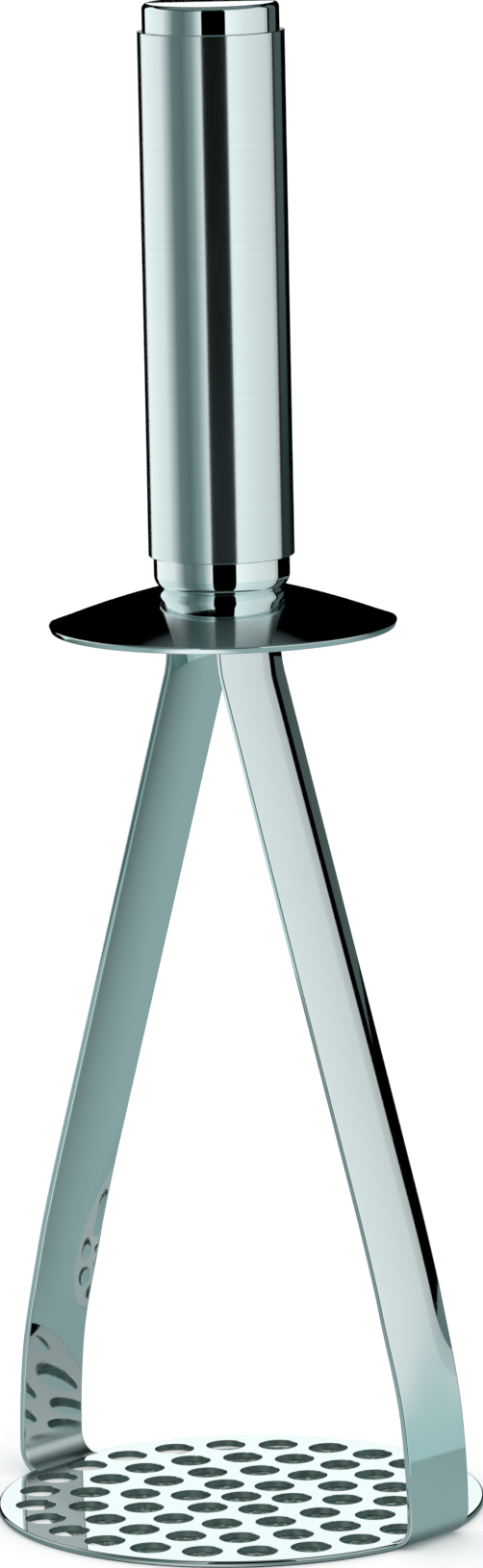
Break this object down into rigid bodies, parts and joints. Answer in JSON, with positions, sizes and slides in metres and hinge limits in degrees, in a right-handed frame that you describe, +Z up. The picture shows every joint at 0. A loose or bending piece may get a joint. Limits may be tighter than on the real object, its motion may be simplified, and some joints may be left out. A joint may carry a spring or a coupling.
{
  "type": "potato masher",
  "caption": "Hand masher with a perforated round plate on two sprung strap legs, a domed hand guard and a round tubular handle.",
  "frame": {"origin": "centre of the mash plate's underside, on the surface that the masher stands on", "axes": "+Z up the handle to the cap; X runs across the two legs, through the middle of each; Y is square to the legs' plane"},
  "size_m": [0.0956, 0.09, 0.2783],
  "materials": {
    "polished_steel": "mirror-polished stainless steel",
    "leg_steel": "polished stainless steel strap",
    "satin_steel": "satin stainless steel, brushed around the handle",
    "machined_steel": "plain turned or cut stainless steel",
    "weld_steel": "cleaned weld bead",
    "seal_rubber": "food-safe black silicone rubber"
  },
  "bodies": {
    "root": {"mash_plate": "polished_steel", "left_leg": "leg_steel", "right_leg": "leg_steel", "leg_boss": "machined_steel", "leg_welds": "weld_steel", "hand_guard": "polished_steel", "guard_gasket": "seal_rubber", "ferrule": "polished_steel", "clamp_washer": "machined_steel", "lock_washer": "machined_steel", "clamp_nut": "machined_steel", "tie_rod": "machined_steel", "core_tube": "machined_steel", "ferrule_o_ring": "seal_rubber", "handle_sleeve": "satin_steel", "cap_o_ring": "seal_rubber", "cap_bush": "machined_steel", "top_cap": "polished_steel"}
  },
  "joints": []
}
